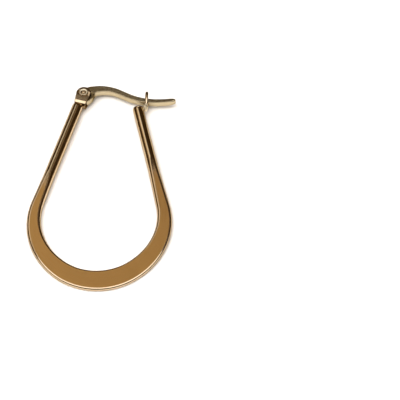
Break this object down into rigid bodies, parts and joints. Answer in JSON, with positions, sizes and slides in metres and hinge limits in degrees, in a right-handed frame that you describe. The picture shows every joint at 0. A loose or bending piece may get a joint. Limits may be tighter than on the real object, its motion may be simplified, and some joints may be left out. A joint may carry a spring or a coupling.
{
  "type": "oval hoop earring",
  "caption": "Long oval hoop earring: round wire arms pressed flat into a wide crescent at the bottom, with a hinged flat ear wire that drops into a fork catch.",
  "frame": {"origin": "middle of the earring's box, at its lowest level, with the earring lying on its side", "axes": "+Y along the hoop from its pressed bottom to the ear wire, +Z square to the hoop's plane, +X from the hinge to the catch"},
  "size_m": [0.0256, 0.0442, 0.0028],
  "materials": {
    "gold_plating": "polished on the arms, hinge and catch, satin on the pressed faces"
  },
  "bodies": {
    "hoop_frame": {"hoop": "gold_plating", "hinge_rivet": "gold_plating"},
    "ear_wire_arm": {"ear_wire": "gold_plating"}
  },
  "joints": [
    {"name": "ear_wire_hinge", "type": "hinge", "parent": "hoop_frame", "child": "ear_wire_arm", "pos_m": [-0.00466, 0.02, 0.0014], "axis": [0, 0, 1], "range_deg": [0, 110]}
  ]
}
